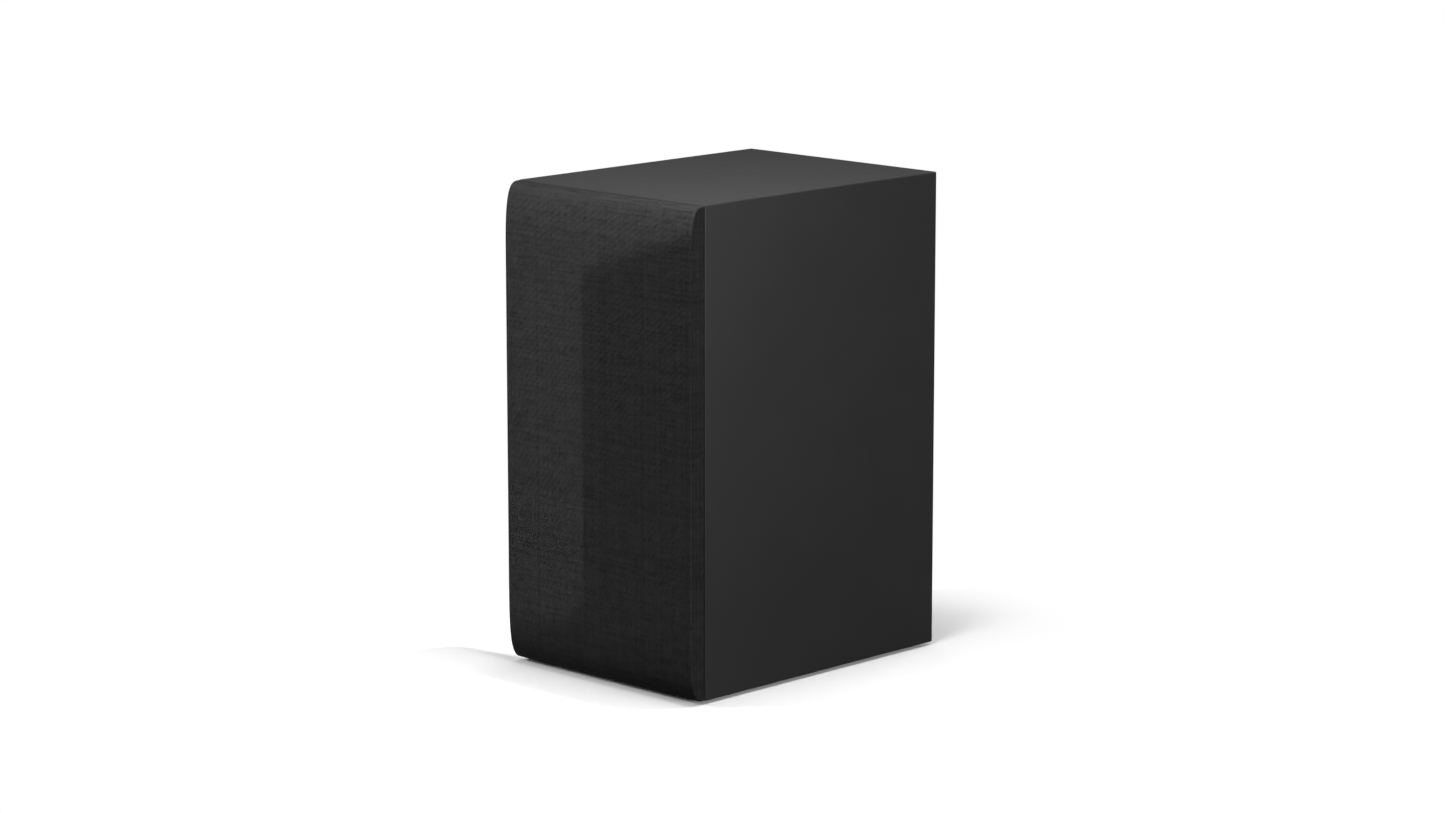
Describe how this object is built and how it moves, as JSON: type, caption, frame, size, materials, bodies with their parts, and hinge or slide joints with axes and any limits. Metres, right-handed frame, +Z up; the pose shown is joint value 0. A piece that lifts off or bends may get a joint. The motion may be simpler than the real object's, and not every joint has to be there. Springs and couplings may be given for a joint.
{
  "type": "soundbar subwoofer",
  "caption": "Compact wireless subwoofer of a soundbar set: a slim wrapped box with a push-fit cloth grille, a forward driver, a rear reflex port and an amplifier plate.",
  "frame": {"origin": "middle of the footprint, on the surface that the feet stand on", "axes": "+Z up, the grille faces -Y, and +X is to the right as seen from in front of it"},
  "size_m": [0.17, 0.231, 0.321],
  "materials": {
    "vinyl_wrap": "fine-grained black vinyl laminate on MDF, soft satin",
    "grille_cloth": "plain-woven charcoal acoustic cloth, matt with a slight sheen",
    "mdf": "raw medium-density fibreboard, black-stained front face",
    "black_plastic": "moulded black ABS, fine spark-eroded texture",
    "amp_plate_paint": "black powder-coated steel sheet",
    "basket_paint": "black electrocoated pressed steel",
    "screw_black": "black-oxide pan-head screw",
    "screw_zinc": "bright zinc-plated machine screw",
    "rubber": "matt black rubber",
    "cone_paper": "pressed black paper cone with a felt-like surface",
    "spider_cloth": "resin-dipped woven cotton",
    "zinc_steel": "zinc-plated turned steel",
    "ferrite": "dark grey sintered ferrite",
    "copper": "enamelled copper wire",
    "aluminium": "bare aluminium, extruded or rolled",
    "board_green": "glass-epoxy circuit board with green solder mask",
    "terminal_board": "brown phenolic board with two tags",
    "capacitor_sleeve": "black shrink sleeve on an aluminium can",
    "nickel": "nickel-plated brass or tinplate",
    "fuse_glass": "clear glass with nickel caps",
    "wadding": "white polyester wadding",
    "lamp_lens": "milky light guide",
    "lead_red": "red PVC wire insulation",
    "lead_black": "black PVC wire insulation"
  },
  "bodies": {
    "cabinet": {"side_panel_left": "vinyl_wrap", "side_panel_right": "vinyl_wrap", "top_panel": "vinyl_wrap", "bottom_panel": "vinyl_wrap", "rear_panel": "vinyl_wrap", "front_baffle": "mdf", "port_tube": "black_plastic", "port_inner_flare": "black_plastic", "inlet_body": "black_plastic", "tact_switch": "black_plastic", "amp_plate": "amp_plate_paint", "woofer_basket": "basket_paint", "woofer_screw_1": "screw_black", "woofer_screw_2": "screw_black", "woofer_screw_3": "screw_black", "woofer_screw_4": "screw_black", "amp_plate_screw_1": "screw_black", "amp_plate_screw_2": "screw_black", "amp_plate_screw_3": "screw_black", "amp_plate_screw_4": "screw_black", "amp_plate_screw_5": "screw_black", "amp_plate_screw_6": "screw_black", "board_screw_1": "screw_zinc", "board_screw_2": "screw_zinc", "board_screw_3": "screw_zinc", "board_screw_4": "screw_zinc", "foot_front_left": "rubber", "foot_front_right": "rubber", "foot_rear_left": "rubber", "foot_rear_right": "rubber", "surround": "rubber", "woofer_gasket": "rubber", "amp_gasket": "rubber", "spider": "spider_cloth", "magnet_top_plate": "zinc_steel", "magnet_yoke": "zinc_steel", "magnet_ring": "ferrite", "transformer_core": "ferrite", "transformer_winding": "copper", "output_inductor": "copper", "heatsink": "aluminium", "amp_board": "board_green", "wireless_module": "board_green", "driver_terminal_strip": "terminal_board", "bulk_capacitor": "capacitor_sleeve", "rf_shield_can": "nickel", "inlet_pin_1": "nickel", "inlet_pin_2": "nickel", "mains_fuse": "fuse_glass", "damping_wadding": "wadding", "status_led": "lamp_lens", "speaker_lead_positive": "lead_red", "speaker_lead_negative": "lead_black"},
    "grille": {"grille_frame": "black_plastic", "grille_fabric": "grille_cloth"},
    "woofer_cone": {"cone": "cone_paper", "dust_cap": "cone_paper", "voice_coil_former": "aluminium", "voice_coil_winding": "copper"},
    "button": {"pairing_button": "black_plastic"}
  },
  "joints": [
    {"name": "grille_pull", "type": "slide", "parent": "cabinet", "child": "grille", "axis": [0, -1, 0], "range_m": [0, 0.06]},
    {"name": "cone_travel", "type": "slide", "parent": "cabinet", "child": "woofer_cone", "axis": [0, -1, 0], "range_m": [-0.006, 0.006], "stiffness_N_per_m": 1400, "deforming": ["surround", "spider"]},
    {"name": "button_press", "type": "slide", "parent": "cabinet", "child": "button", "axis": [0, -1, 0], "range_m": [0, 0.0007], "stiffness_N_per_m": 800}
  ]
}
